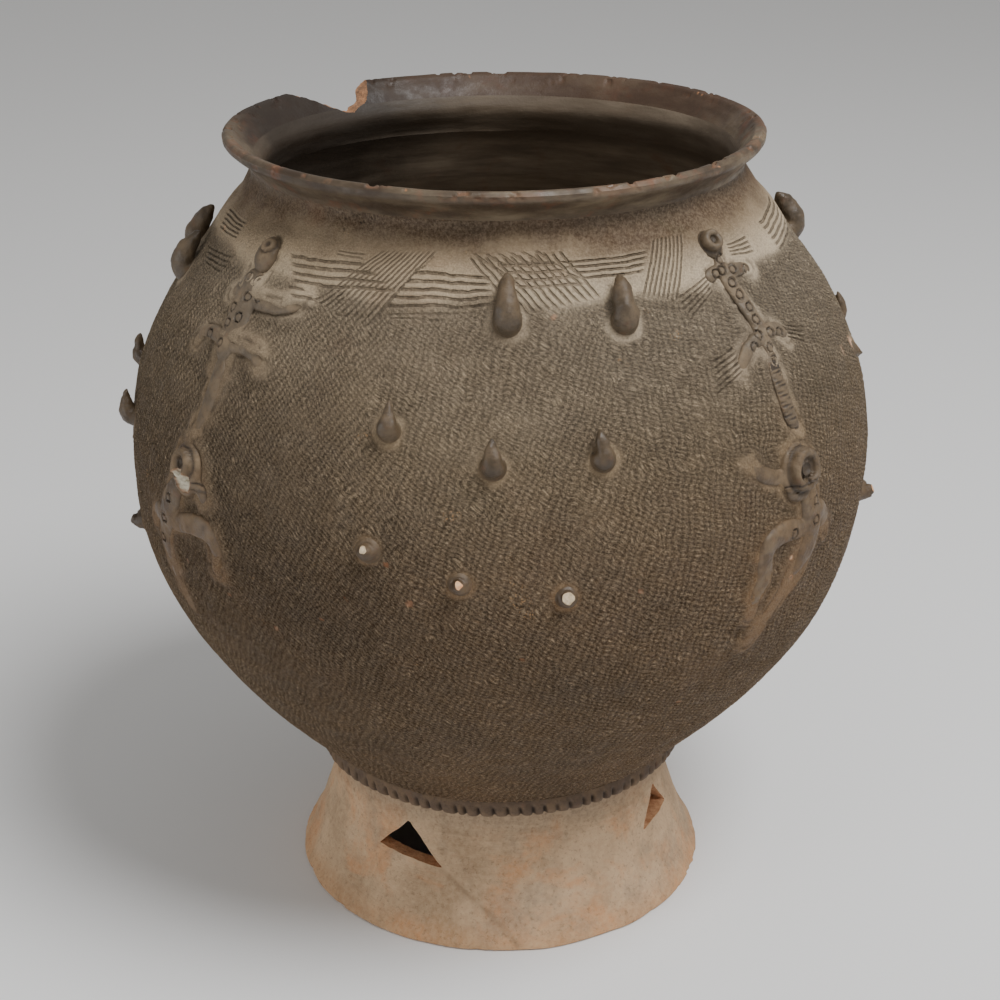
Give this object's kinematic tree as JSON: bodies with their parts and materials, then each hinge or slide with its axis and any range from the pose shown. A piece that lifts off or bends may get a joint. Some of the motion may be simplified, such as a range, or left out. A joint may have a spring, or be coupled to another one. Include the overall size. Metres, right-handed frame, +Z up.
{
  "type": "footed pot",
  "caption": "Round bellied clay pot with a flared lip on an open pierced foot, with luted spikes and climbing lizard figures.",
  "frame": {"origin": "centre of the ring that the foot stands on, level with the floor", "axes": "+Z up through the mouth, -Y towards the front panel of spikes, +X to the right of it"},
  "size_m": [0.4198, 0.4197, 0.44],
  "materials": {
    "body_clay": "matte, dusty, roulette dimpled",
    "neck_clay": "smoothed and burnished, satin",
    "base_clay": "matte, sooted",
    "foot_clay": "matte, lightly smoothed",
    "relief_clay": "matte, worn smooth"
  },
  "bodies": {
    "root": {"base_bowl": "base_clay", "belly_course": "body_clay", "comb_band_course": "body_clay", "creature_back_left_body": "relief_clay", "creature_back_left_head": "relief_clay", "creature_back_right_body": "relief_clay", "creature_back_right_head": "relief_clay", "creature_front_left_body": "relief_clay", "creature_front_left_head": "relief_clay", "creature_front_right_body": "relief_clay", "creature_front_right_head": "relief_clay", "foot_ring": "foot_clay", "inner_luting_coil": "foot_clay", "lizard_back_left_body": "relief_clay", "lizard_back_left_head": "relief_clay", "lizard_back_right_body": "relief_clay", "lizard_back_right_head": "relief_clay", "lizard_front_left_body": "relief_clay", "lizard_front_left_head": "relief_clay", "lizard_front_right_body": "relief_clay", "lizard_front_right_head": "relief_clay", "lower_belly_course": "body_clay", "lower_course": "body_clay", "neck_and_lip": "neck_clay", "notched_cordon": "base_clay", "shoulder_course": "body_clay", "spike_back_low_1": "relief_clay", "spike_back_low_2": "relief_clay", "spike_back_low_3": "relief_clay", "spike_back_middle_1": "relief_clay", "spike_back_middle_2": "relief_clay", "spike_back_middle_3": "relief_clay", "spike_back_top_1": "relief_clay", "spike_back_top_2": "relief_clay", "spike_front_low_1": "relief_clay", "spike_front_low_2": "relief_clay", "spike_front_low_3": "relief_clay", "spike_front_middle_1": "relief_clay", "spike_front_middle_2": "relief_clay", "spike_front_middle_3": "relief_clay", "spike_front_top_1": "relief_clay", "spike_front_top_2": "relief_clay", "spike_left_low_1": "relief_clay", "spike_left_low_2": "relief_clay", "spike_left_low_3": "relief_clay", "spike_left_middle_1": "relief_clay", "spike_left_middle_2": "relief_clay", "spike_left_middle_3": "relief_clay", "spike_left_top_1": "relief_clay", "spike_left_top_2": "relief_clay", "spike_right_low_1": "relief_clay", "spike_right_low_2": "relief_clay", "spike_right_low_3": "relief_clay", "spike_right_middle_1": "relief_clay", "spike_right_middle_2": "relief_clay", "spike_right_middle_3": "relief_clay", "spike_right_top_1": "relief_clay", "spike_right_top_2": "relief_clay", "upper_belly_course": "body_clay"}
  },
  "joints": []
}
